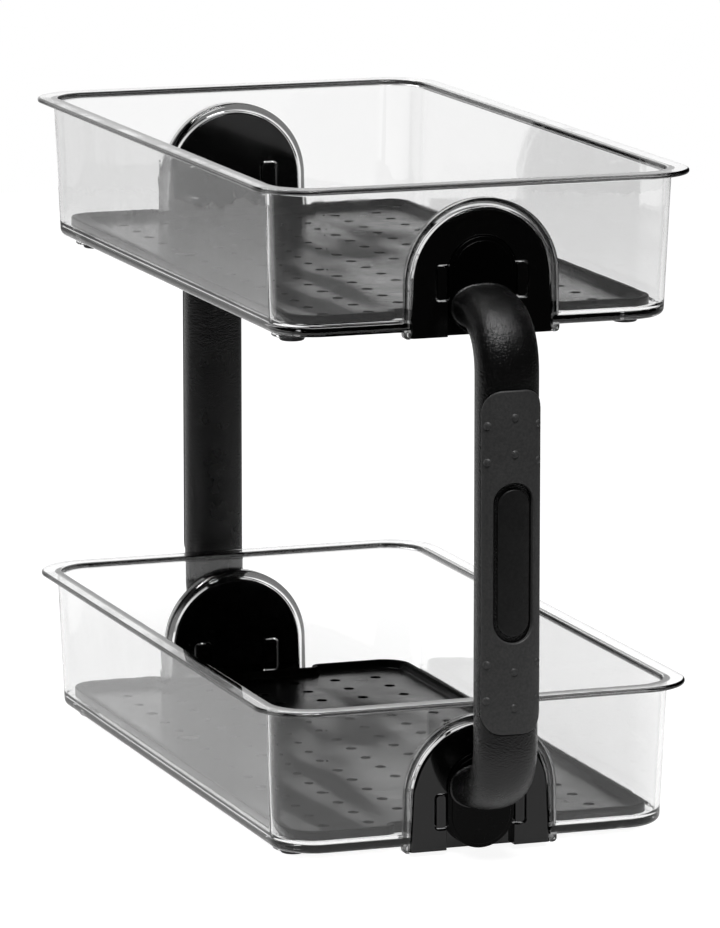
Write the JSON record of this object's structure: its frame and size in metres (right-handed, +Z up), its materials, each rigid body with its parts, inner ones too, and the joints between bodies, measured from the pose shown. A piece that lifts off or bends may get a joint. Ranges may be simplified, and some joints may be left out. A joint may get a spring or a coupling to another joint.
{
  "type": "tiered tray organizer",
  "caption": "Tiered organizer of clear rounded trays with soft mats, held apart at both ends by black C-shaped carrying handles with soft grips.",
  "frame": {"origin": "middle of the bounding box, on the surface that the lower feet stand on", "axes": "+Z up, +Y towards the back along the long side of the trays, +X to the right along their short side"},
  "size_m": [0.178, 0.3768, 0.2642],
  "materials": {
    "clear_plastic": "clear, glossy, slightly smoky",
    "gloss_black": "polished black",
    "matte_black": "matte black with a fine grain",
    "soft_grip": "soft, dull",
    "mat_rubber": "soft, dull",
    "foot_rubber": "dull"
  },
  "bodies": {
    "base": {"tray_lower": "clear_plastic", "foot_lower_front_left": "foot_rubber", "foot_lower_front_right": "foot_rubber", "foot_lower_back_left": "foot_rubber", "foot_lower_back_right": "foot_rubber", "plate_lower_front": "gloss_black", "plate_lower_back": "gloss_black", "plate_upper_front": "gloss_black", "plate_upper_back": "gloss_black", "hub_lower_front": "matte_black", "hub_lower_back": "matte_black", "hub_upper_front": "matte_black", "hub_upper_back": "matte_black", "handle_front": "matte_black", "handle_back": "matte_black", "grip_front": "soft_grip", "grip_back": "soft_grip", "inlay_front": "matte_black", "inlay_back": "matte_black"},
    "upper_tray": {"tray_upper": "clear_plastic", "foot_upper_front_left": "foot_rubber", "foot_upper_front_right": "foot_rubber", "foot_upper_back_left": "foot_rubber", "foot_upper_back_right": "foot_rubber"},
    "upper_mat": {"mat_upper": "mat_rubber"},
    "lower_mat": {"mat_lower": "mat_rubber"}
  },
  "joints": [
    {"name": "upper_tray_lift", "type": "slide", "parent": "base", "child": "upper_tray", "axis": [0, 0, 1], "range_m": [0, 0.056]},
    {"name": "upper_mat_lift", "type": "slide", "parent": "upper_tray", "child": "upper_mat", "axis": [0, 0, 1], "range_m": [0, 0.06]},
    {"name": "lower_mat_lift", "type": "slide", "parent": "base", "child": "lower_mat", "axis": [0, 0, 1], "range_m": [0, 0.06]}
  ]
}
